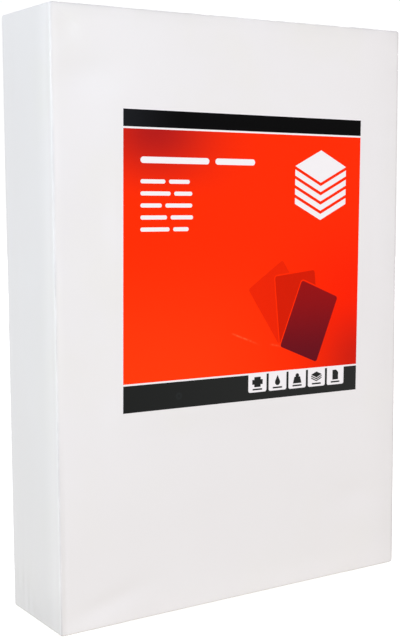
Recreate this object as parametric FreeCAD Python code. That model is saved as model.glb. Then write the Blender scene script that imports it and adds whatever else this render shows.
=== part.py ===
import FreeCAD, Part
import math
import os

os.makedirs("parts", exist_ok=True)

# All sizes are in millimetres and all angles in degrees.
# The pack stands on a short end: X runs across its front, Y from front to back, Z up.

# The sheets of paper
sheet_width = 210.0
sheet_height = 297.0
sheet_count = 500
sheet_caliper = 0.107

# The wrapper
wrapper_caliper = 0.13
fold_radius = 1.1
end_flap_depth = 36.0
flap_inset = 1.8
seam_width = 20.0
seam_ramp = 4.0
seam_centre_x = 8.0

# The label and its ink
label_thickness = 0.10
label_margin = 0.3
label_corner = 0.8
label_centre_x = 4.25
label_centre_z = 176.9
label_turn = 0.8
ink_thickness = 0.05
print_size = 146.0

# The two black bands and the bare rules beside them
top_band_height = 8.2
bottom_band_height = 13.3
rule_height = 0.9

# The white bars in the red field: one large row and five short rows below it
text_left = 9.4
heading_top = 22.2
heading_height = 3.1
heading_lengths = (39.4, 24.2)
heading_gap = 3.6
line_top = 33.0
line_height = 2.0
line_pitch = 5.78
line_gap = 2.0
line_lengths = ((14.0, 12.0), (17.0, 10.5), (12.0, 15.5), (15.0, 13.0), (16.5, 9.0))

# The white emblem: a pile of sheets seen from a corner
emblem_from_right = 26.7
emblem_top = 16.5
emblem_width = 34.0
emblem_sheet_height = 17.0
emblem_edge = 3.2
emblem_gap = 1.7
emblem_edge_count = 4

# The fan of three sheets in darker ink
fan_pivot_from_right = 52.0
fan_pivot_up = 12.8
fan_sheet_width = 26.0
fan_sheet_height = 37.0
fan_corner = 1.3
fan_gap = 0.8
fan_dark_lean = 22.0
fan_step = 28.0

# The five white boxes in the lower band, each with a black symbol and a bar under it
box_count = 5
box_from_right = 8.7
box_width = 11.6
box_height = 9.3
box_pitch = 12.95
box_corner = 1.1
symbol_top = 1.3
symbol_height = 5.3
caption_drop = 7.4
caption_width = 6.0
caption_height = 0.8

# The feeder symbol
feeder_width = 6.6
feeder_body_height = 2.5
feeder_sheet_width = 4.0

# The drop symbol
drop_radius = 1.65

# The weight symbol
weight_foot = 5.6
weight_top = 3.8
weight_height = 3.5
weight_knob_radius = 1.15

# The pile symbol
pile_width = 7.0
pile_sheet_height = 3.2
pile_edge = 0.6
pile_gap = 0.45
pile_edge_count = 2

# The page symbol
page_width = 3.9
page_fold = 1.4

# What follows from them
pack_width = sheet_width + 2 * wrapper_caliper
pack_depth = sheet_count * sheet_caliper + 2 * wrapper_caliper
inner_flap_level = wrapper_caliper
tuck_level = 3 * wrapper_caliper
sheet_level = 4 * wrapper_caliper
pack_height = sheet_height + 2 * sheet_level
front_y = -pack_depth / 2
back_y = pack_depth / 2
label_level = label_thickness
overprint_level = label_thickness + ink_thickness
field_top = top_band_height + rule_height
band_top = print_size - bottom_band_height
field_bottom = band_top - rule_height
emblem_centre = print_size - emblem_from_right
fan_pivot_right = print_size - fan_pivot_from_right
fan_pivot_down = field_bottom - fan_pivot_up
# How far cutting shapes run past what they cut
spare = 5.0


def vector(x, y, z):
    return FreeCAD.Vector(x, y, z)


# The wrapped pack

def rounded_block(end_level):
    """The whole pack, cut short at both ends by end_level, with the fold radius on every edge."""
    corner = vector(-pack_width / 2, front_y, end_level)
    block = Part.makeBox(pack_width, pack_depth, pack_height - 2 * end_level, corner)
    return block.makeFillet(fold_radius, block.Edges)


def flap_zone(root, bottom, top):
    """The space over one end flap, rooted at the front (-1) or the back (1).

    It crosses the fold square to it, just inside the corners, and then narrows at 45 degrees.
    """
    root_half = pack_width / 2 - flap_inset
    free_half = root_half - (end_flap_depth - fold_radius)
    outer_y = root * (pack_depth / 2 + spare)
    fold_y = root * (pack_depth / 2 - fold_radius)
    free_y = root * (pack_depth / 2 - end_flap_depth)
    outline = [
        vector(-root_half, outer_y, bottom),
        vector(root_half, outer_y, bottom),
        vector(root_half, fold_y, bottom),
        vector(free_half, free_y, bottom),
        vector(-free_half, free_y, bottom),
        vector(-root_half, fold_y, bottom),
    ]
    face = Part.Face(Part.makePolygon(outline + outline[:1]))
    return face.extrude(vector(0, 0, top - bottom))


def end_flaps(root, level):
    """The same flap at both ends: its plane lies level inside the pack's end."""
    block = rounded_block(level)
    fold_depth = tuck_level + 2 * fold_radius
    low = block.common(flap_zone(root, -spare, fold_depth))
    high = block.common(flap_zone(root, pack_height - fold_depth, pack_height + spare))
    return [low, high]


def back_seam():
    """The lengthwise lap on the back: it climbs over the layer below and ends in a cut edge."""
    left = seam_centre_x - seam_width / 2
    right = seam_centre_x + seam_width / 2
    bottom = tuck_level + fold_radius
    outline = [
        vector(left - seam_ramp, back_y - wrapper_caliper, bottom),
        vector(left - seam_ramp, back_y, bottom),
        vector(left, back_y + wrapper_caliper, bottom),
        vector(right, back_y + wrapper_caliper, bottom),
        vector(right, back_y - wrapper_caliper, bottom),
    ]
    face = Part.Face(Part.makePolygon(outline + outline[:1]))
    return face.extrude(vector(0, 0, pack_height - 2 * bottom))


def wrapped_ream():
    """Sheets and wrapper as one sealed solid: side tucks inside front flaps inside back flaps."""
    pieces = end_flaps(-1, inner_flap_level) + end_flaps(1, 0.0) + [back_seam()]
    return rounded_block(tuck_level).multiFuse(pieces).removeSplitter()


# Flat shapes on the label, placed right of and down from the print's top left corner

def label_point(right, down, level):
    x = label_centre_x - print_size / 2 + right
    z = label_centre_z + print_size / 2 - down
    return vector(x, front_y - level, z)


def slab(wire, thickness):
    """A flat shape, thickened towards the front."""
    return Part.Face(wire).extrude(vector(0, -thickness, 0))


def cutter(points):
    """A polygon that cuts right through the ink."""
    return polygon_slab(points, label_level - spare, 2 * spare)


def polygon_slab(points, level, thickness):
    corners = [label_point(right, down, level) for right, down in points]
    return slab(Part.makePolygon(corners + corners[:1]), thickness)


def rectangle_slab(left, top, width, height, level, thickness, corner=0.0):
    """An upright rectangle, with its corners rounded if corner isn't 0."""
    points = [(left, top), (left + width, top), (left + width, top + height), (left, top + height)]
    solid = polygon_slab(points, level, thickness)
    return rounded(solid, corner)


def rounded(solid, corner):
    """The same slab with every corner of its outline rounded."""
    if corner <= 0:
        return solid
    edges = [edge for edge in solid.Edges if abs(edge.tangentAt(edge.FirstParameter).y) > 0.99]
    return solid.makeFillet(corner, edges)


def disc_slab(right, down, radius, level, thickness):
    circle = Part.makeCircle(radius, label_point(right, down, level), vector(0, 1, 0))
    return slab(Part.Wire(circle), thickness)


def turned(shape):
    """Everything on the label leans with it, clockwise as seen from the front."""
    centre = vector(label_centre_x, front_y, label_centre_z)
    shape.rotate(centre, vector(0, 1, 0), label_turn)
    return shape


def front_label():
    size = print_size + 2 * label_margin
    return rectangle_slab(-label_margin, -label_margin, size, size, 0.0, label_thickness, label_corner)


# The red print

def bar(left, top, length, height):
    """A bar with round ends that cuts right through the ink."""
    return rectangle_slab(left, top, length, height, label_level - spare, 2 * spare, 0.49 * height)


def row_of_bars(top, height, lengths, gap):
    bars = []
    left = text_left
    for length in lengths:
        bars.append(bar(left, top, length, height))
        left += length + gap
    return bars


def text_bars():
    bars = row_of_bars(heading_top, heading_height, heading_lengths, heading_gap)
    for row, lengths in enumerate(line_lengths):
        bars += row_of_bars(line_top + row * line_pitch, line_height, lengths, line_gap)
    return bars


def pile_outlines(centre, top, width, sheet_rise, edge, gap, edge_count):
    """The outlines of a pile of sheets seen from a corner: the top one, then the edges below."""
    half = width / 2
    middle = top + sheet_rise / 2
    heart = top + sheet_rise
    outlines = [[(centre, top), (centre + half, middle), (centre, heart), (centre - half, middle)]]
    for row in range(edge_count):
        side = middle + gap + row * (edge + gap)
        tip = side + sheet_rise / 2
        upper = [(centre - half, side), (centre, tip), (centre + half, side)]
        lower = [(centre + half, side + edge), (centre, tip + edge), (centre - half, side + edge)]
        outlines.append(upper + lower)
    return outlines


def emblem():
    outlines = pile_outlines(emblem_centre, emblem_top, emblem_width, emblem_sheet_height,
                             emblem_edge, emblem_gap, emblem_edge_count)
    return [cutter(points) for points in outlines]


def red_print():
    height = field_bottom - field_top
    field = rectangle_slab(0, field_top, print_size, height, label_level, ink_thickness)
    return field.cut(text_bars() + emblem())


# The fan of darker sheets

def fan_sheet(lean, grow, level, thickness, corner):
    """One sheet of the fan, grown by grow all round, leaning clockwise about its lower left corner."""
    left = fan_pivot_right - grow
    top = fan_pivot_down - fan_sheet_height - grow
    width = fan_sheet_width + 2 * grow
    height = fan_sheet_height + 2 * grow
    sheet = rectangle_slab(left, top, width, height, level, thickness, corner)
    sheet.rotate(label_point(fan_pivot_right, fan_pivot_down, level), vector(0, 1, 0), lean)
    return sheet


def fan_print(place):
    """The sheet at this place in the fan, 0 on top, without what the sheets above it cover."""
    lean = fan_dark_lean - place * fan_step
    sheet = fan_sheet(lean, 0.0, overprint_level, ink_thickness, fan_corner)
    for above in range(place):
        above_lean = fan_dark_lean - above * fan_step
        cover = fan_sheet(above_lean, fan_gap, overprint_level - spare, 2 * spare, fan_corner + fan_gap)
        sheet = sheet.cut(cover)
    return sheet


# The black print

def box_left(number):
    last_left = print_size - box_from_right - box_width
    return last_left - (box_count - 1 - number) * box_pitch


def box_cutter(number):
    """A white box, open to the rule above the band."""
    top = band_top - spare
    return rectangle_slab(box_left(number), top, box_width, box_height + spare,
                          label_level - spare, 2 * spare, box_corner)


def feeder_symbol(centre, top):
    """A sheet going into and coming out of a flat box."""
    sheet_left = centre - feeder_sheet_width / 2
    body_top = top + (symbol_height - feeder_body_height) / 2
    sheet = rectangle_slab(sheet_left, top, feeder_sheet_width, symbol_height,
                           label_level, ink_thickness)
    body = rectangle_slab(centre - feeder_width / 2, body_top, feeder_width, feeder_body_height,
                          label_level, ink_thickness)
    return [sheet.fuse(body).removeSplitter()]


def drop_symbol(centre, top):
    """A round drop drawn up to a point."""
    heart = top + symbol_height - drop_radius
    reach = heart - top
    spread = math.acos(drop_radius / reach)
    side_right = drop_radius * math.sin(spread)
    side_down = heart - drop_radius * math.cos(spread)
    left = label_point(centre - side_right, side_down, label_level)
    right = label_point(centre + side_right, side_down, label_level)
    low = label_point(centre, heart + drop_radius, label_level)
    tip = label_point(centre, top, label_level)
    bowl = Part.Arc(left, low, right).toShape()
    outline = Part.Wire([bowl, Part.makeLine(right, tip), Part.makeLine(tip, left)])
    return [slab(outline, ink_thickness)]


def weight_symbol(centre, top):
    """A scale weight with a knob on it."""
    foot = top + symbol_height
    shoulder = foot - weight_height
    points = [(centre - weight_foot / 2, foot), (centre - weight_top / 2, shoulder),
              (centre + weight_top / 2, shoulder), (centre + weight_foot / 2, foot)]
    block = polygon_slab(points, label_level, ink_thickness)
    knob_down = top + weight_knob_radius
    knob = disc_slab(centre, knob_down, weight_knob_radius, label_level, ink_thickness)
    neck = rectangle_slab(centre - weight_knob_radius / 2, knob_down, weight_knob_radius,
                          foot - knob_down, label_level, ink_thickness)
    return [block.fuse([knob, neck]).removeSplitter()]


def pile_symbol(centre, top):
    """A small pile of sheets."""
    outlines = pile_outlines(centre, top, pile_width, pile_sheet_height,
                             pile_edge, pile_gap, pile_edge_count)
    return [polygon_slab(points, label_level, ink_thickness) for points in outlines]


def page_symbol(centre, top):
    """A page with one corner folded in."""
    left = centre - page_width / 2
    right = centre + page_width / 2
    foot = top + symbol_height
    points = [(left, top), (right - page_fold, top), (right, top + page_fold),
              (right, foot), (left, foot)]
    return [polygon_slab(points, label_level, ink_thickness)]


def caption(centre, top):
    return rectangle_slab(centre - caption_width / 2, top, caption_width, caption_height,
                          label_level, ink_thickness)


def symbols():
    solids = []
    drawn = (feeder_symbol, drop_symbol, weight_symbol, pile_symbol, page_symbol)
    for number in range(box_count):
        centre = box_left(number) + box_width / 2
        draw = drawn[number % len(drawn)]
        solids += draw(centre, band_top + symbol_top)
        solids.append(caption(centre, band_top + caption_drop))
    return solids


def black_print():
    top_band = rectangle_slab(0, 0, print_size, top_band_height, label_level, ink_thickness)
    bottom_band = rectangle_slab(0, band_top, print_size, bottom_band_height, label_level, ink_thickness)
    bottom_band = bottom_band.cut([box_cutter(number) for number in range(box_count)])
    return Part.makeCompound(top_band.Solids + bottom_band.Solids + symbols())


def export(name, shape):
    solids = shape.Solids
    whole = solids[0] if len(solids) == 1 else Part.makeCompound(solids)
    whole.exportStep(f"parts/{name}.step")
    print(name, "solids", len(solids), "valid", whole.isValid(), "volume", round(whole.Volume, 3))


export("wrapped_ream", wrapped_ream())
export("front_label", turned(front_label()))
export("label_red_print", turned(red_print()))
export("label_black_print", turned(black_print()))
export("label_fan_dark_print", turned(fan_print(0)))
export("label_fan_middle_print", turned(fan_print(1)))
export("label_fan_light_print", turned(fan_print(2)))
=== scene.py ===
import math

import bpy
import numpy as np
from mathutils import Matrix, Vector


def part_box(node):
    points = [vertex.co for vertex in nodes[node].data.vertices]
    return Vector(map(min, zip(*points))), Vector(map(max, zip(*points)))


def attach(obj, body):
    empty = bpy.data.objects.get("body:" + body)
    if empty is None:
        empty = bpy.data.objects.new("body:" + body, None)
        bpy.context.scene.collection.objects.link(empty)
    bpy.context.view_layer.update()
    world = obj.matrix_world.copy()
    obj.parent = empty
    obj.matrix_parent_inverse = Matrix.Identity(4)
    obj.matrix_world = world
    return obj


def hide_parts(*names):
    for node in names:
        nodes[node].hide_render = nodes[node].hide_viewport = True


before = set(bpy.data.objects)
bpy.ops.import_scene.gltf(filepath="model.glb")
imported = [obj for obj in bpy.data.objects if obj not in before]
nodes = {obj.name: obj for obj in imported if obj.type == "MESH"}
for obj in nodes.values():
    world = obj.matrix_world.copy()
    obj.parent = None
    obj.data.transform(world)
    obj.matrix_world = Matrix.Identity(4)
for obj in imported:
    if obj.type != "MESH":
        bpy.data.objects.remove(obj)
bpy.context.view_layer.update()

# The wrapper's shape is worked out in millimetres, and everything else in metres
MM = 0.001

# What the frame says: the pack in millimetres and the label in metres
ream_low, ream_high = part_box("wrapped_ream")
half_width = ream_high.x / MM
half_depth = -ream_low.y / MM
pack_height = ream_high.z / MM
caliper = ream_high.y / MM - half_depth
label_low, label_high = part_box("front_label")
field_low, field_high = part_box("label_red_print")

# The camera, fitted to the pack's outline and the label's edges in the photograph
photo_height = 637
focal_length_px = 1201.0
sensor_mm = 36.0
camera_place = Vector((-0.3490, -0.5282, 0.2141))
camera_azimuth = 32.86
camera_pitch = -6.27
camera_roll = -0.29

# The wrapper's folds
fold_radius = 1.1
fold_segments = 4
tuck_drop = 3 * caliper
flap_depth = 36.0
flap_inset = 1.5
flap_thickness = 0.15
inner_flap_drop = 2 * caliper
outer_flap_drop = caliper
lap_left = -2.0
lap_right = 18.0
lap_ramp = 5.0

# How far the ends sink where fewer layers lie below: beyond the tucks, and beyond the front flap
tuckless_sink = 0.2
tuckless_flap_sink = 0.14
single_flap_sink = 0.12

# The seeds of the two back flaps, which the lap follows
top_back_seed = 71
bottom_back_seed = 81

# How closely the wrapper is meshed
columns = 120
layers = 36
rows = 170
crowding = 0.6
flap_rows = (3, 8, 26)
flap_columns = 97
lap_fold_rows = (1, 8, 20)
lap_rows = 150

# The hollow beside a fold, where the paper falls back from the edge that it is pulled round
hollow_depth = 0.07
hollow_start = 2.2
hollow_relax = 12.0
hollow_left = 0.3
hollow_fade = 60.0

# How the faces roll off towards the folds: depth, and how far from the fold it starts
corner_roll = (0.04, 2.0)
end_roll = (0.10, 4.0)
side_roll = (0.06, 12.0)
right_roll = (0.15, 12.0)

# How deep the loose paper's unevenness is
front_slack = 0.22
back_slack = 0.2
side_slack = 0.12
side_lines = 0.07
tuck_slack = 0.05
flap_slack = 0.03
slack_reach = 26.0

# How the flaps' edges lie: the free one lifts, the slanted ones round off, and the root reaches down a face
flap_root_reach = 3.0
free_edge_lift = 0.10
free_edge_reach = 9.0
slant_rounding = 0.05
slant_reach = 0.3
root_buried = 0.012

# How the lap's edges lie on the back, and how far it reaches into the body
lap_columns = (8, 14)
lap_edge = 0.3
lap_buried = 0.02
lap_rounding = 0.03
lap_rounding_reach = 0.2
lap_inner_depth = 0.1

# The front's dents: centre, half sizes, turn in degrees and depth
front_dents = (
    ((-97.0, 287.0), (6.5, 4.0), -40.0, 0.7),
    ((-87.0, 266.0), (17.0, 9.0), 4.0, 1.2),
    ((-78.0, 12.0), (24.0, 5.5), 15.0, 0.7),
    ((76.0, 44.0), (13.0, 8.0), 0.0, 0.6),
)

# The crease at the front's upper left corner
crease_start = (-104.5, 297.5)
crease_end = (-90.0, 286.0)
crease_width = 1.3
crease_depth = 0.35

# The valley beside the front's left fold, from its middle down
valley_top = 120.0
valley_fade = 70.0
valley_off_fold = 3.0
valley_depth = 0.16

# The crumpled low back corner of a side
crumple_top = 34.0
crumple_front = -16.0
crumple_fade = 30.0
crumple_depth = 0.3

# The wrapper lies flat where the label holds it
label_hold = 11.0

# Painted shade and light in the wrapper's colour: how much darker it is painted along its folds, lighter
# along the front's foot, and lighter high up and darker low down beside the left fold, with the width of each
# band in metres
top_fold_painted_shade = (0.10, 0.0014)
top_painted_shade = (0.03, 0.005)
right_fold_painted_shade = (0.10, 0.0014)
right_painted_shade = (0.03, 0.014)
front_fold_painted_shade = (0.17, 0.0005)
back_fold_painted_shade = (0.06, 0.0016)
foot_painted_light = (-0.02, 0.009)
left_fold_painted_light_and_shade = (0.024, 0.0018)
# Painted shade at the foot of a side
side_foot_painted_shade = 0.06
# Painted shadow lines along the cut edges of the flaps and the lap: strength and width in metres
cut_edge_painted_shadow = 0.3
cut_edge_shadow_width = 0.0004

# Painted light: how much lighter a side is painted where it bulges towards the front, and how far that goes
bulge_painted_light = 0.07
bulge_width = 0.018

# Where the print is rubbed: scratches from start to end with their strength. And a dimple in the lower band,
# ringed with painted highlight
scratches = (
    (Vector((-0.0070, 0.0, 0.1400)), Vector((0.0140, 0.0, 0.1315)), 0.6),
    (Vector((0.0170, 0.0, 0.1325)), Vector((0.0330, 0.0, 0.1290)), 0.35),
)
scratch_width = 0.0004
rubbed_red = (1.0, 0.16, 0.05, 1.0)
dimple = Vector((-0.0380, 0.0, 0.1105))
dimple_radius = 0.0013
dimple_highlight_strength = 0.25

# The room's light
glow_below = (0.55, 0.54, 0.46, 1.0)
glow_room = (0.45, 0.44, 0.45, 1.0)
glow_front = (1.555, 1.49, 1.52, 1.0)
brightest_way = Vector((-0.1, -0.995, 0.0))
stage_radius = 12.0
floor_paint = 0.8
floor_glow = 0.62
backdrop_paint = 0.0
backdrop_glow = 1.03


def smooth(value):
    """0 below 0, 1 above 1, and an even rise between them."""
    t = np.clip(value, 0.0, 1.0)
    return t * t * (3.0 - 2.0 * t)


def waves(u, v, seed, shortest, longest):
    """Rolling unevenness, mostly between -1 and 1, the same on each run."""
    count = 9
    random = np.random.default_rng(seed)
    total = np.zeros_like(u)
    for _ in range(count):
        length = shortest * (longest / shortest) ** random.random()
        heading = random.uniform(0.0, math.pi)
        phase = random.uniform(0.0, 2.0 * math.pi)
        along = u * math.cos(heading) + v * math.sin(heading)
        total += np.sin(2.0 * math.pi * along / length + phase)
    return total / math.sqrt(2.0 * count)


def streaks(across, along, seed, shortest, longest):
    """Lines that run along, of uneven width and strength, as loose sheets print through a wrapper."""
    count = 12
    random = np.random.default_rng(seed)
    total = np.zeros_like(across)
    for _ in range(count):
        length = shortest * (longest / shortest) ** random.random()
        phase = random.uniform(0.0, 2.0 * math.pi)
        fade_length = random.uniform(90.0, 260.0)
        fade_phase = random.uniform(0.0, 2.0 * math.pi)
        drift = 0.12 * np.sin(2.0 * math.pi * along / random.uniform(60.0, 160.0) + phase)
        strength = 0.6 + 0.4 * np.sin(2.0 * math.pi * along / fade_length + fade_phase)
        total += strength * np.sin(2.0 * math.pi * (across / length + drift) + phase)
    return total / math.sqrt(2.0 * count)


def dent(u, v, centre, half_sizes, turn, depth):
    """A soft elliptical hollow."""
    c, s = math.cos(math.radians(turn)), math.sin(math.radians(turn))
    du, dv = u - centre[0], v - centre[1]
    a = (du * c + dv * s) / half_sizes[0]
    b = (-du * s + dv * c) / half_sizes[1]
    return depth * np.exp(-(a * a + b * b))


def crease(u, v, start, end):
    """A sharp valley from start to end, which fades out towards both."""
    su, sv = start
    length = math.hypot(end[0] - su, end[1] - sv)
    cu, cv = (end[0] - su) / length, (end[1] - sv) / length
    along = ((u - su) * cu + (v - sv) * cv) / length
    off = np.abs(-(u - su) * cv + (v - sv) * cu)
    ends = smooth(along * 4.0) * smooth((1.0 - along) * 4.0)
    return crease_depth * ends * np.exp(-off / crease_width)


def hollow(distance):
    """How far the paper lies back, by its distance from a fold."""
    beyond = np.clip(distance - fold_radius, 0.0, None)
    falls = 1.0 - np.exp(-beyond / hollow_start)
    relaxes = hollow_left + (1.0 - hollow_left) * np.exp(-beyond / hollow_relax)
    return hollow_depth * falls * relaxes


def roll(distance, shape):
    """The face's fall towards a fold, which grows steeper up to the fold itself."""
    depth, reach = shape
    return depth * (1.0 - np.clip(distance / reach, 0.0, 1.0)) ** 2


def rolls(across, half, along):
    """The fall towards all four folds of one face."""
    return roll(half - np.abs(across), corner_roll) + roll(np.minimum(along, pack_height - along), end_roll)


def away_from_folds(x, z):
    """0 on the folds of the front or the back, and 1 further than slack_reach from them."""
    from_side = half_width - np.abs(x)
    from_end = np.minimum(z, pack_height - z)
    return smooth(from_side / slack_reach) * smooth(from_end / slack_reach)


def beyond_tucks(x, blend):
    """1 along the middle of an end, where no side tuck lies below, and 0 above the tucks."""
    return 1.0 - smooth((np.abs(x) - (half_width - flap_depth)) / blend)


# How far each face of the wrapper lies inside the pack's box

def label_grip(x, z):
    """1 under the label and 0 further than label_hold from it."""
    right = np.maximum(label_low.x / MM - x, x - label_high.x / MM)
    up = np.maximum(label_low.z / MM - z, z - label_high.z / MM)
    off = np.hypot(np.clip(right, 0.0, None), np.clip(up, 0.0, None))
    return 1.0 - smooth(off / label_hold)


def front_sink(x, z):
    sink = rolls(x, half_width, z) + roll(half_width - x, right_roll)
    sink = sink + hollow(half_width + x) * smooth((pack_height - z) / hollow_fade - 0.5)
    sink = sink + away_from_folds(x, z) * front_slack * (1.0 + waves(x, z, 11, 45.0, 150.0))
    for centre, half_sizes, turn, depth in front_dents:
        sink = sink + dent(x, z, centre, half_sizes, turn, depth)
    sink = sink + crease(x, z, crease_start, crease_end)
    valley = smooth((valley_top - z) / valley_fade) * np.exp(-(half_width + x - valley_off_fold) ** 2)
    sink = sink + valley_depth * valley
    return sink * (1.0 - label_grip(x, z))


def back_sink(x, z):
    sink = rolls(x, half_width, z) + hollow(half_width - np.abs(x))
    return sink + away_from_folds(x, z) * back_slack * (1.0 + waves(x, z, 23, 50.0, 170.0))


def side_sink(y, z, seed):
    off_fold = half_depth - np.abs(y)
    loose = smooth(off_fold / 5.0)
    sink = rolls(y, half_depth, z) + roll(half_depth + y, side_roll)
    sink = sink + loose * side_lines * (1.0 + streaks(y, z, seed, 7.0, 24.0))
    sink = sink + loose * side_slack * (1.0 + waves(y, z, seed + 1, 60.0, 190.0))
    crumpled = smooth((crumple_top - z) / crumple_fade) * smooth((y - crumple_front) / crumple_fade)
    crumpled = crumpled * smooth(off_fold / 2.0)
    return sink + crumpled * crumple_depth * (1.0 + streaks(y, z * 2.0, seed + 2, 4.0, 10.0))


def tuck_sink(x, y, seed):
    """The folded ends, under the flaps: the side tucks end flap_depth in from each side."""
    loose = smooth((half_width - np.abs(x)) / 6.0)
    return tuckless_sink * beyond_tucks(x, 1.5) + loose * tuck_slack * (1.0 + waves(x, y, seed, 12.0, 45.0))


# The wrapper's body

def fold_lattice(half, count):
    """Lattice places from -half to half: even angles round both folds, and closer places beside them."""
    inner = half - fold_radius
    even = np.linspace(-1.0, 1.0, count + 1)
    flat = inner * ((1.0 - crowding) * even + crowding * np.sin(even * math.pi / 2.0))
    angles = np.radians(45.0) * np.arange(1, fold_segments + 1) / fold_segments
    fold = inner + fold_radius * np.tan(angles)
    return np.concatenate([-fold[::-1], flat, fold])


def lattice_box(places):
    """The surface points of a lattice box and its quads, each point shared by the faces that it lies on."""
    counts = [len(p) for p in places]
    quads = []
    for axis in range(3):
        u_axis, v_axis = (axis + 1) % 3, (axis + 2) % 3
        u, v = np.meshgrid(np.arange(counts[u_axis] - 1), np.arange(counts[v_axis] - 1), indexing="ij")
        for level in (0, counts[axis] - 1):
            corners = []
            for du, dv in ((0, 0), (1, 0), (1, 1), (0, 1)):
                index = [None, None, None]
                index[axis] = np.full_like(u, level)
                index[u_axis] = u + du
                index[v_axis] = v + dv
                corners.append(index[0] + counts[0] * (index[1] + counts[1] * index[2]))
            if level == 0:
                corners.reverse()
            quads.append(np.stack(corners, axis=-1).reshape(-1, 4))
    used, quads = np.unique(np.concatenate(quads), return_inverse=True)
    quads = quads.reshape(-1, 4)
    x = used % counts[0]
    y = (used // counts[0]) % counts[1]
    z = used // (counts[0] * counts[1])
    points = np.stack([places[0][x], places[1][y], places[2][z]], axis=-1)
    return points, quads


def rounded(points, halves):
    """Lattice points brought onto the rounded box, with the way out of it at each."""
    inner = halves - fold_radius
    core = np.clip(points, -inner, inner)
    outward = points - core
    outward /= np.linalg.norm(outward, axis=1, keepdims=True)
    return core + fold_radius * outward, outward


def build_mesh(name, points, quads, sharp_degrees):
    mesh = bpy.data.meshes.new(name)
    mesh.from_pydata((points * MM).tolist(), [], quads.tolist())
    mesh.validate()
    mesh.polygons.foreach_set("use_smooth", [True] * len(mesh.polygons))
    mesh.set_sharp_from_angle(angle=math.radians(sharp_degrees))
    piece = bpy.data.objects.new(name, mesh)
    bpy.context.scene.collection.objects.link(piece)
    return piece


def wrapper_body():
    """Faces, folds and side tucks of the wrapper as one closed skin round the sheets."""
    half_height = pack_height / 2.0 - tuck_drop
    halves = np.array([half_width, half_depth, half_height])
    places = [fold_lattice(half, count) for half, count in zip(halves, (columns, layers, rows))]
    lattice, quads = lattice_box(places)
    points, outward = rounded(lattice, halves)
    points[:, 2] += pack_height / 2.0
    x, y, z = points.T
    sinks = (
        (-outward[:, 1], front_sink(x, z)),
        (outward[:, 1], back_sink(x, z)),
        (-outward[:, 0], side_sink(y, z, 31)),
        (outward[:, 0], side_sink(y, z, 41)),
        (outward[:, 2], tuck_sink(x, y, 51)),
        (-outward[:, 2], tuck_sink(x, y, 61)),
    )
    total = sum(np.clip(facing, 0.0, 1.0) ** 2 * sink for facing, sink in sinks)
    points = points - outward * total[:, None]
    return build_mesh("wrapper_body", points, quads, 40.0)


# The end flaps: each is a sheet that comes off the front or the back, goes round the fold and lies on the end

def closed_sheet(name, outer, inner):
    """A thin closed piece between two grids of points."""
    row_count, column_count = outer.shape[:2]
    index = np.arange(row_count * column_count).reshape(row_count, column_count)
    below = index + index.size

    def quads_of(a, b, c, d):
        return np.stack([a, b, c, d], axis=-1).reshape(-1, 4)

    top = quads_of(index[:-1, :-1], index[1:, :-1], index[1:, 1:], index[:-1, 1:])
    base = quads_of(below[:-1, :-1], below[:-1, 1:], below[1:, 1:], below[1:, :-1])
    edges = []
    for rim in (index[0, ::-1], index[-1, :], index[:, 0], index[::-1, -1]):
        edges.append(quads_of(rim[:-1], rim[1:], rim[1:] + index.size, rim[:-1] + index.size))
    quads = np.concatenate([top, base] + edges)
    points = np.concatenate([outer.reshape(-1, 3), inner.reshape(-1, 3)])
    return build_mesh(name, points, quads, 50.0)


def flap_level(x, y, root, seed):
    """How far the flap's upper side lies below the pack's end."""
    drop = np.full_like(x, inner_flap_drop if root < 0 else outer_flap_drop)
    drop = drop + tuckless_flap_sink * beyond_tucks(x, 2.5)
    from_root = half_depth - root * y
    drop = drop + flap_slack * smooth(from_root / 8.0) * (1.0 + waves(x, y, seed, 14.0, 60.0))
    if root > 0:
        inner_edge = flap_depth - half_depth
        past_inner = smooth((y - inner_edge) / 1.6) * smooth((half_depth - y) / 12.0)
        drop = drop + single_flap_sink * past_inner
    return drop


def flap_path(root, drop_at_fold, part_counts):
    """A flap's way at the top end, by rows: y, z, facing outwards, facing up, and depth from the fold."""
    face_rows, arc_rows, flat_rows = part_counts
    fold_z = pack_height - drop_at_fold - fold_radius
    path = []
    for rise in np.linspace(-flap_root_reach, 0.0, face_rows, endpoint=False):
        path.append((root * half_depth, fold_z + rise, 1.0, 0.0, 0.0))
    for angle in np.linspace(0.0, math.pi / 2.0, arc_rows, endpoint=False):
        out, up = math.cos(angle), math.sin(angle)
        y = root * (half_depth - fold_radius + fold_radius * out)
        path.append((y, fold_z + fold_radius * up, out, up, 0.0))
    for share in np.sin(np.linspace(0.0, math.pi / 2.0, flat_rows)):
        depth = fold_radius + share * (flap_depth - fold_radius)
        path.append((root * (half_depth - depth), fold_z + fold_radius, 0.0, 1.0, depth - fold_radius))
    return np.array(path)


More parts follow.
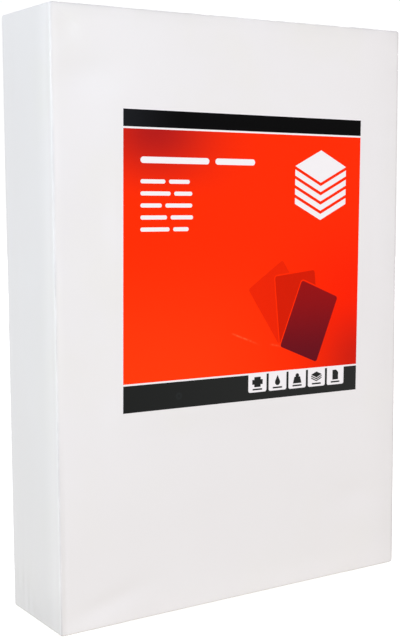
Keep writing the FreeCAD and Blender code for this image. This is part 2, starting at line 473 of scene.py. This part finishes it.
def end_flap(name, root, end, seed):
    """One flap, rooted at the front (-1) or the back (1), at the upper (1) or the lower (-1) end."""
    drop_at_fold = inner_flap_drop if root < 0 else outer_flap_drop
    path = flap_path(root, drop_at_fold, flap_rows)
    share = np.sin(np.linspace(-math.pi / 2.0, math.pi / 2.0, flap_columns))
    share = 0.55 * share + 0.45 * np.linspace(-1.0, 1.0, flap_columns)
    y, z, out, up, depth = (column[:, None] for column in path.T)
    half_across = half_width - flap_inset - depth
    x = share[None, :] * half_across
    y = y + 0.0 * x
    z = z + 0.0 * x
    depth = depth + 0.0 * x
    face_sink = front_sink if root < 0 else back_sink
    face_z = z if end > 0 else pack_height - z
    sink = out ** 2 * (face_sink(x, face_z) + root_buried)
    level = flap_level(x, y, root, seed) - drop_at_fold
    free_edge = smooth((depth - (flap_depth - fold_radius) + free_edge_reach) / free_edge_reach)
    lift = 0.0
    if end > 0:
        lift = free_edge_lift * free_edge * np.clip(waves(x, 0.0 * x, seed + 5, 18.0, 70.0), 0.0, 1.0)
    rounding = slant_rounding * np.exp(-(1.0 - np.abs(share[None, :])) * half_across / slant_reach)
    down = up ** 2 * (level - lift + rounding)
    outer = np.stack([x, y - root * sink, z - down], axis=-1)
    inner = np.stack([x, y - root * (sink + out * flap_thickness), z - down - up * flap_thickness], axis=-1)
    if end < 0:
        outer[..., 2] = pack_height - outer[..., 2]
        inner[..., 2] = pack_height - inner[..., 2]
    if root * end > 0:
        outer, inner = outer[:, ::-1], inner[:, ::-1]
    return closed_sheet(name, outer, inner)


def back_lap():
    """The strip of double paper down the back, which runs on over both folds onto the outer flaps."""
    top = flap_path(1, outer_flap_drop, lap_fold_rows)[1:]
    y, z, out, up, _ = top.T
    long_rows = np.linspace(z[0], pack_height - z[0], lap_rows)[1:-1]
    path_y = np.concatenate([y[::-1], np.full_like(long_rows, half_depth), y])
    path_z = np.concatenate([z[::-1], long_rows, pack_height - z])
    path_out = np.concatenate([out[::-1], np.ones_like(long_rows), out])
    path_up = np.concatenate([up[::-1], np.zeros_like(long_rows), -up])
    across = np.concatenate([
        np.linspace(lap_left - lap_ramp, lap_left, lap_columns[0], endpoint=False),
        np.linspace(lap_left, lap_right - lap_edge, lap_columns[1]),
        [lap_right],
    ])
    x = across[None, :] + 0.0 * path_y[:, None]
    y = path_y[:, None] + 0.0 * x
    z = path_z[:, None] + 0.0 * x
    out = path_out[:, None]
    up = path_up[:, None]
    top_level, bottom_level = (flap_level(x, y, 1, seed) for seed in (top_back_seed, bottom_back_seed))
    level = np.where(up > 0, top_level, bottom_level) - outer_flap_drop
    sink = out ** 2 * back_sink(x, z) + up ** 2 * level
    ramp = smooth((x - (lap_left - lap_ramp)) / lap_ramp)
    lift = caliper * ramp - lap_buried - lap_rounding * np.exp(-(lap_right - x) / lap_rounding_reach)
    outer = np.stack([x, y + out * (lift - sink), z + up * (lift - sink)], axis=-1)
    inner_sink = lap_inner_depth + sink
    inner = np.stack([x, y - out * inner_sink, z - up * inner_sink], axis=-1)
    return closed_sheet("back_lap", outer[:, ::-1], inner[:, ::-1])


# Materials

def feed(tree, socket, value):
    """Links a socket to another one, or sets it to a value."""
    if isinstance(value, bpy.types.NodeSocket):
        tree.links.new(value, socket)
    else:
        socket.default_value = value


def node(tree, kind, settings=(), **inputs):
    """A node with its settings, and its inputs linked to sockets or set to values."""
    made = tree.nodes.new(kind)
    for name, value in dict(settings).items():
        setattr(made, name, value)
    for name, value in inputs.items():
        feed(tree, made.inputs[name], value)
    return made


def maths(tree, operation, *values):
    """A sum, a product or another function of sockets and numbers."""
    made = tree.nodes.new("ShaderNodeMath")
    made.operation = operation
    for socket, value in zip(made.inputs, values):
        feed(tree, socket, value)
    return made.outputs[0]


def product(tree, *values):
    """Sockets and numbers multiplied together."""
    total = values[0]
    for value in values[1:]:
        total = maths(tree, "MULTIPLY", total, value)
    return total


def parts_of(tree, place):
    """The x, y and z of a place."""
    made = node(tree, "ShaderNodeSeparateXYZ", Vector=place)
    return [made.outputs[axis] for axis in "XYZ"]


def object_place(tree):
    return node(tree, "ShaderNodeTexCoord").outputs["Object"]


def noise(tree, place, scale, detail=3.0, roughness=0.5):
    made = node(tree, "ShaderNodeTexNoise", Vector=place, Scale=scale, Detail=detail, Roughness=roughness)
    return made.outputs["Fac"]


def remap(tree, value, low, high, to_low, to_high):
    """An even change from to_low to to_high, as a value goes from low to high."""
    made = node(tree, "ShaderNodeMapRange", {"interpolation_type": "SMOOTHSTEP"}, Value=value)
    for name, number in zip(("From Min", "From Max", "To Min", "To Max"), (low, high, to_low, to_high)):
        made.inputs[name].default_value = number
    return made.outputs["Result"]


def bell(tree, value, centre, width):
    """1 at the centre, with an even fall to both sides."""
    off = maths(tree, "DIVIDE", maths(tree, "SUBTRACT", value, centre), width)
    return maths(tree, "EXPONENT", product(tree, off, off, -1.0))


def dot(tree, place, way, start=Vector()):
    """How far a place lies from start along a way."""
    made = node(tree, "ShaderNodeVectorMath", {"operation": "DOT_PRODUCT"})
    tree.links.new(place, made.inputs[0])
    made.inputs[1].default_value = way
    return maths(tree, "SUBTRACT", made.outputs["Value"], way.dot(start))


def across_and_down(tree, low, high):
    """Shares of an upright box: 0 to 1 from its left, and 0 to 1 from its top."""
    x, _, z = parts_of(tree, object_place(tree))
    across = maths(tree, "DIVIDE", maths(tree, "SUBTRACT", x, low.x), high.x - low.x)
    down = maths(tree, "DIVIDE", maths(tree, "SUBTRACT", high.z, z), high.z - low.z)
    return across, down


def blend_of(tree, share, first, second):
    """A colour between two, by share."""
    made = node(tree, "ShaderNodeMix", {"data_type": "RGBA"})
    for socket, value in ((made.inputs[0], share), (made.inputs[6], first), (made.inputs[7], second)):
        feed(tree, socket, value)
    return made.outputs[2]


def bump(tree, shader, height, distance, strength, under=None):
    """A bump on a shader, on top of another one where under is given."""
    made = node(tree, "ShaderNodeBump", Height=height, Distance=distance, Strength=strength)
    if under is not None:
        tree.links.new(under, made.inputs["Normal"])
    tree.links.new(made.outputs["Normal"], shader.inputs["Normal"])
    return made.outputs["Normal"]


def new_material(name, roughness, specular):
    material = bpy.data.materials.new(name)
    material.use_nodes = True
    tree = material.node_tree
    shader = tree.nodes["Principled BSDF"]
    shader.inputs["Roughness"].default_value = roughness
    shader.inputs["Specular IOR Level"].default_value = specular
    return material, tree, shader


def outermost(tree, value, edge, start, end):
    """0 further than start inside an edge, and 1 nearer to it than end."""
    return remap(tree, value, edge - start, edge - end, 0.0, 1.0)


def inside_flap(tree, x, y, root):
    """How far a place on an end lies inside the flap rooted at the front (-1) or the back (1)."""
    depth = maths(tree, "MULTIPLY_ADD", y, -root, half_depth * MM)
    off_root = maths(tree, "ADD", depth, maths(tree, "ABSOLUTE", x))
    slant = maths(tree, "SUBTRACT", (half_width - flap_inset) * MM, off_root)
    free = maths(tree, "SUBTRACT", flap_depth * MM, depth)
    return maths(tree, "MINIMUM", product(tree, slant, math.sqrt(0.5)), free)


def cut_edge_shadows(tree, x, y, z):
    """Where the painted shadow lines go: 1 along the cut edges of the flaps and the lap, where they lie on
    the layer below.
    """
    middle, back = pack_height * MM / 2.0, half_depth * MM
    from_middle = maths(tree, "ABSOLUTE", maths(tree, "SUBTRACT", z, middle))
    on_end = outermost(tree, from_middle, middle, 0.0016, 0.0010)
    on_back = outermost(tree, y, back, 0.0016, 0.0010)
    off_fold = remap(tree, maths(tree, "ABSOLUTE", y), back - 0.0040, back - 0.0015, 1.0, 0.0)
    outer, inner = (inside_flap(tree, x, y, root) for root in (1, -1))
    outer_line, inner_line = (bell(tree, inside, -0.0001, cut_edge_shadow_width) for inside in (outer, inner))
    inner_line = product(tree, inner_line, remap(tree, outer, -0.0003, 0.0, 1.0, 0.0))
    flap_lines = product(tree, maths(tree, "MAXIMUM", outer_line, inner_line), on_end, off_fold)
    on_outer = product(tree, on_end, remap(tree, outer, 0.0, 0.0004, 0.0, 1.0))
    lap_line = bell(tree, x, lap_right * MM + 0.0002, cut_edge_shadow_width)
    lap_line = product(tree, lap_line, maths(tree, "MAXIMUM", on_back, on_outer))
    return maths(tree, "MAXIMUM", flap_lines, lap_line)


def wrapper_painted_shade(tree, place):
    """How light the wrapper's colour is painted: painted shade along its folds, at the sides' feet and along
    the cut edges, and painted light where its sides bulge, along the front's foot and high up beside the left
    fold.
    """
    x, y, z = parts_of(tree, place)
    top, right = pack_height * MM, half_width * MM
    front, back = -half_depth * MM, half_depth * MM
    on_side = outermost(tree, maths(tree, "ABSOLUTE", x), right, 0.0016, 0.0004)
    on_front = remap(tree, y, front + 0.0012, front + 0.0035, 1.0, 0.0)
    front_only = product(tree, on_front, maths(tree, "SUBTRACT", 1.0, on_side))
    at_corner = bell(tree, maths(tree, "ABSOLUTE", x), right - 0.00045, 0.0007)
    bands = (
        (left_fold_painted_light_and_shade, x, 0.0022 - right, product(tree, on_front, remap(tree, z, 0.03, 0.16, 1.0, -1.0))),
        (foot_painted_light, z, 0.004, front_only),
        (top_fold_painted_shade, z, top, front_only),
        (top_painted_shade, z, top, front_only),
        (right_fold_painted_shade, x, right, on_front),
        (right_painted_shade, x, right, on_front),
        (front_fold_painted_shade, y, front + 0.0002, at_corner),
        (back_fold_painted_shade, y, back, on_side),
    )
    grey = 0.0
    for (strength, width), value, centre, where in bands:
        share = product(tree, bell(tree, value, centre, width), where)
        grey = maths(tree, "MULTIPLY_ADD", share, strength, grey)
    foot = product(tree, remap(tree, z, 0.0, 0.03, 1.0, 0.0), on_side)
    grey = maths(tree, "MULTIPLY_ADD", foot, side_foot_painted_shade, grey)
    # Painted shadow lines along the cut edges
    grey = maths(tree, "MULTIPLY_ADD", cut_edge_shadows(tree, x, y, z), cut_edge_painted_shadow, grey)
    uneven = remap(tree, noise(tree, place, 45.0, 4.0, 0.6), 0.3, 0.7, 0.6, 1.4)
    # Painted light where a side bulges towards the front
    bulge = product(tree, remap(tree, y, front, front + bulge_width, bulge_painted_light, 0.0),
                    remap(tree, y, front + 0.0002, front + 0.0010, 0.6, 1.0))
    lighter = maths(tree, "MULTIPLY_ADD", bulge, on_side, 1.0)
    return maths(tree, "SUBTRACT", lighter, product(tree, grey, uneven))


def wrapper_paper():
    """White coated paper: a fine fibre grain, a cloudy tone, painted warm bounce light low down, painted
    shade and light along its folds, edges and bulging sides, and uneven gloss.
    """
    material, tree, shader = new_material("wrapper_paper", 0.42, 0.25)
    place = object_place(tree)
    cloud = remap(tree, noise(tree, place, 11.0, 4.0, 0.55), 0.35, 0.65, 0.0, 1.0)
    tone = blend_of(tree, cloud, (0.792, 0.775, 0.779, 1.0), (0.806, 0.791, 0.797, 1.0))
    stain = remap(tree, noise(tree, place, 19.0), 0.5, 0.75, 0.0, 1.0)
    tone = blend_of(tree, stain, tone, (0.795, 0.780, 0.768, 1.0))
    # Painted warm bounce light from below, strongest at the foot
    painted_warm_bounce = remap(tree, parts_of(tree, place)[2], 0.0, 0.20, 0.5, 0.0)
    tone = blend_of(tree, painted_warm_bounce, tone, (0.797, 0.777, 0.766, 1.0))
    # The painted shade and light of the folds, edges and bulges scale the tone
    shaded = node(tree, "ShaderNodeVectorMath", {"operation": "SCALE"}, Scale=wrapper_painted_shade(tree, place))
    tree.links.new(tone, shaded.inputs[0])
    tree.links.new(shaded.outputs["Vector"], shader.inputs["Base Color"])
    gloss = remap(tree, noise(tree, place, 30.0), 0.3, 0.7, 0.40, 0.45)
    tree.links.new(gloss, shader.inputs["Roughness"])
    soft = bump(tree, shader, noise(tree, place, 30.0, 2.0), 0.0004, 0.3)
    bump(tree, shader, noise(tree, place, 1400.0, 4.0, 0.6), 0.00005, 0.35, soft)
    return material


def label_stock():
    material, tree, shader = new_material("label_stock", 0.3, 0.5)
    place = object_place(tree)
    tone = blend_of(tree, noise(tree, place, 60.0), (0.84, 0.815, 0.83, 1.0), (0.87, 0.845, 0.86, 1.0))
    tree.links.new(tone, shader.inputs["Base Color"])
    bump(tree, shader, noise(tree, place, 900.0), 0.00002, 0.3)
    return material


def ink(name, light, dark):
    """An ink with a faint print mottle, and the sheet's slight waviness in its dull gloss."""
    material, tree, shader = new_material(name, 0.3, 0.018)
    place = object_place(tree)
    grain = noise(tree, place, 700.0, 4.0, 0.7)
    tone = blend_of(tree, remap(tree, grain, 0.3, 0.7, 0.0, 0.5), light, dark)
    tree.links.new(tone, shader.inputs["Base Color"])
    wavy = bump(tree, shader, noise(tree, place, 22.0, 1.0), 0.0006, 0.5)
    bump(tree, shader, noise(tree, place, 900.0), 0.00002, 0.3, wavy)
    return material, tree, shader, tone


def scratch(tree, tone, start, end, strength):
    """A thin pale line rubbed into an ink from start to end, broken here and there."""
    place = object_place(tree)
    along_way = (end - start).normalized()
    across_way = Vector((-along_way.z, 0.0, along_way.x))
    length = (end - start).length
    along, off = (dot(tree, place, way, start) for way in (along_way, across_way))
    share = product(
        tree,
        bell(tree, off, 0.0, scratch_width),
        remap(tree, along, 0.0, 0.2 * length, 0.0, strength),
        remap(tree, along, 0.3 * length, length, 1.0, 0.0),
        remap(tree, noise(tree, place, 700.0), 0.35, 0.6, 0.2, 1.0),
    )
    return blend_of(tree, share, tone, rubbed_red)


def red_ink():
    """The red field: yellower at its lower left, a painted reflection, cooler on its right, and with two
    darker corners of painted shade.
    """
    light, dark = (0.985, 0.0255, 0.0006, 1.0), (0.955, 0.0240, 0.0006, 1.0)
    material, tree, shader, tone = ink("red_ink", light, dark)
    across, down = across_and_down(tree, field_low, field_high)
    # Painted reflection: yellower towards the lower left
    low, left = remap(tree, down, 0.4, 1.0, 0.0, 1.0), remap(tree, across, 0.2, 0.9, 1.0, 0.0)
    tone = blend_of(tree, product(tree, low, left), tone, (0.98, 0.041, 0.0030, 1.0))
    cooler = product(tree, bell(tree, down, 0.72, 0.3), remap(tree, across, 0.5, 1.0, 0.0, 1.0))
    tone = blend_of(tree, cooler, tone, (0.96, 0.015, 0.0004, 1.0))
    # Painted shade: two darker corners, at the upper left and the lower right
    upper = product(tree, bell(tree, across, 0.13, 0.22), remap(tree, down, 0.0, 0.30, 0.62, 0.0))
    tone = blend_of(tree, upper, tone, (0.10, 0.002, 0.014, 1.0))
    lower = product(tree, bell(tree, across, 1.0, 0.17), remap(tree, down, 0.68, 0.98, 0.0, 0.42))
    tone = blend_of(tree, lower, tone, (0.10, 0.004, 0.010, 1.0))
    for start, end, strength in scratches:
        tone = scratch(tree, tone, start, end, strength)
    tree.links.new(tone, shader.inputs["Base Color"])
    return material


def black_ink():
    """The black bands: greyer at the upper one's left end and all along the lower one, a painted reflection,
    and a painted highlight ring round a dimple.
    """
    light, dark = (0.0022, 0.0022, 0.0024, 1.0), (0.0034, 0.0034, 0.0034, 1.0)
    material, tree, shader, tone = ink("black_ink", light, dark)
    across, down = across_and_down(tree, label_low, label_high)
    # Painted reflection: greyer at the upper band's left end and all along the lower band
    left_end = remap(tree, across, -0.04, 0.25, 1.0, 0.0)
    tone = blend_of(tree, left_end, tone, (0.0115, 0.0125, 0.0150, 1.0))
    grey = blend_of(tree, across, (0.0155, 0.0165, 0.0160, 1.0), (0.0245, 0.0255, 0.0245, 1.0))
    tone = blend_of(tree, remap(tree, down, 0.3, 0.7, 0.0, 1.0), tone, grey)
    # Painted highlight: a lighter ring round a dimple in the lower band
    off = node(tree, "ShaderNodeVectorMath", {"operation": "DISTANCE"})
    tree.links.new(object_place(tree), off.inputs[0])
    off.inputs[1].default_value = (dimple.x, label_low.y, dimple.z)
    ring = product(tree, bell(tree, off.outputs["Value"], dimple_radius, 0.0006), dimple_highlight_strength)
    tone = blend_of(tree, ring, tone, (0.034, 0.040, 0.043, 1.0))
    tree.links.new(tone, shader.inputs["Base Color"])
    return material


def fan_dark_ink():
    """The front sheet of the fan, darker towards its foot."""
    material, tree, shader, tone = ink("fan_dark_ink", (0.30, 0.006, 0.007, 1.0), (0.27, 0.006, 0.007, 1.0))
    _, down = across_and_down(tree, *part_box("label_fan_dark_print"))
    tone = blend_of(tree, remap(tree, down, 0.0, 1.0, 0.0, 1.0), tone, (0.13, 0.006, 0.012, 1.0))
    tree.links.new(tone, shader.inputs["Base Color"])
    return material


def fan_middle_ink():
    return ink("fan_middle_ink", (0.66, 0.012, 0.001, 1.0), (0.62, 0.012, 0.001, 1.0))[0]


def fan_light_ink():
    return ink("fan_light_ink", (0.84, 0.018, 0.001, 1.0), (0.79, 0.018, 0.001, 1.0))[0]


def give(piece, material):
    piece.data.materials.clear()
    piece.data.materials.append(material)


# The stage, the lights and the camera

def set_stage(piece, name, paint, glow):
    """A white surface of the stage. Its light doesn't reach the pack, which the room's own glow lights."""
    piece.name = name
    piece.visible_diffuse = False
    piece.visible_glossy = False
    piece.visible_shadow = False
    material, _, shader = new_material(name + "_paint", 1.0, 0.0)
    shader.inputs["Base Color"].default_value = (paint, paint, paint, 1.0)
    shader.inputs["Emission Color"].default_value = (1.0, 1.0, 1.0, 1.0)
    shader.inputs["Emission Strength"].default_value = glow
    piece.data.materials.append(material)


def floor_and_backdrop():
    """A wide white table, lit from below as well, and a white wall all round it."""
    bpy.ops.mesh.primitive_circle_add(vertices=128, radius=stage_radius, fill_type="NGON")
    set_stage(bpy.context.object, "floor", floor_paint, floor_glow)
    bpy.ops.mesh.primitive_cylinder_add(vertices=128, radius=stage_radius, depth=2.0 * stage_radius,
                                        end_fill_type="NOTHING")
    set_stage(bpy.context.object, "backdrop", backdrop_paint, backdrop_glow)


def studio_world():
    """A white room, much brighter in front of the pack than behind it, above it or below it."""
    world = bpy.data.worlds.new("studio")
    bpy.context.scene.world = world
    world.use_nodes = True
    tree = world.node_tree
    tree.nodes.clear()
    way = node(tree, "ShaderNodeTexCoord").outputs["Generated"]
    height = parts_of(tree, way)[2]
    room = blend_of(tree, remap(tree, height, -0.06, 0.06, 0.0, 1.0), glow_below, glow_room)
    front = product(
        tree,
        remap(tree, height, -0.45, 0.0, 0.0, 1.0),
        remap(tree, height, 0.3, 0.8, 1.0, 0.0),
        remap(tree, dot(tree, way, brightest_way), -0.6, 0.9, 0.0, 1.0),
    )
    glow = blend_of(tree, front, room, glow_front)
    walls = node(tree, "ShaderNodeBackground", Color=glow, Strength=1.0)
    node(tree, "ShaderNodeOutputWorld", Surface=walls.outputs[0])


def softbox(name, place, target, size, power, colour):
    lamp = bpy.data.lights.new(name, "AREA")
    lamp.shape = "SQUARE"
    lamp.size = size
    lamp.energy = power
    lamp.color = colour
    holder = bpy.data.objects.new(name, lamp)
    holder.location = place
    holder.rotation_euler = (Vector(target) - Vector(place)).to_track_quat("-Z", "Y").to_euler()
    holder.visible_camera = False
    bpy.context.scene.collection.objects.link(holder)


def lights():
    softbox("left", (-2.8, -0.2, 0.7), (0.0, 0.0, 0.15), 1.2, 19.5, (0.79, 0.90, 1.0))
    softbox("near", (-0.50, -0.42, 0.45), (-0.10, 0.0, 0.20), 0.35, 1.0, (0.60, 0.82, 1.0))
    softbox("behind", (1.8, 2.0, 1.1), (0.0, 0.0, 0.15), 1.2, 50.0, (1.0, 1.0, 1.0))


def camera():
    lens = bpy.data.cameras.new("camera")
    lens.sensor_width = sensor_mm
    lens.lens = focal_length_px * sensor_mm / photo_height
    lens.clip_start = 0.01
    lens.clip_end = 100.0
    seen_by = bpy.data.objects.new("camera", lens)
    turn = Matrix.Rotation(math.radians(-camera_azimuth), 4, "Z")
    tilt = Matrix.Rotation(math.radians(90.0 + camera_pitch), 4, "X")
    lean = Matrix.Rotation(math.radians(camera_roll), 4, "Z")
    seen_by.matrix_world = Matrix.Translation(camera_place) @ turn @ tilt @ lean
    bpy.context.scene.collection.objects.link(seen_by)
    bpy.context.scene.camera = seen_by


camera()
floor_and_backdrop()
studio_world()
lights()
bpy.context.scene.view_settings.view_transform = "Standard"

paper = wrapper_paper()
body = wrapper_body()
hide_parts("wrapped_ream")
wrapper_pieces = [
    body,
    end_flap("top_front_flap", -1, 1, 70),
    end_flap("top_back_flap", 1, 1, top_back_seed),
    end_flap("bottom_front_flap", -1, -1, 80),
    end_flap("bottom_back_flap", 1, -1, bottom_back_seed),
    back_lap(),
]
for piece in wrapper_pieces:
    give(piece, paper)
    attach(piece, "root")

give(nodes["front_label"], label_stock())
give(nodes["label_red_print"], red_ink())
give(nodes["label_black_print"], black_ink())
give(nodes["label_fan_dark_print"], fan_dark_ink())
give(nodes["label_fan_middle_print"], fan_middle_ink())
give(nodes["label_fan_light_print"], fan_light_ink())
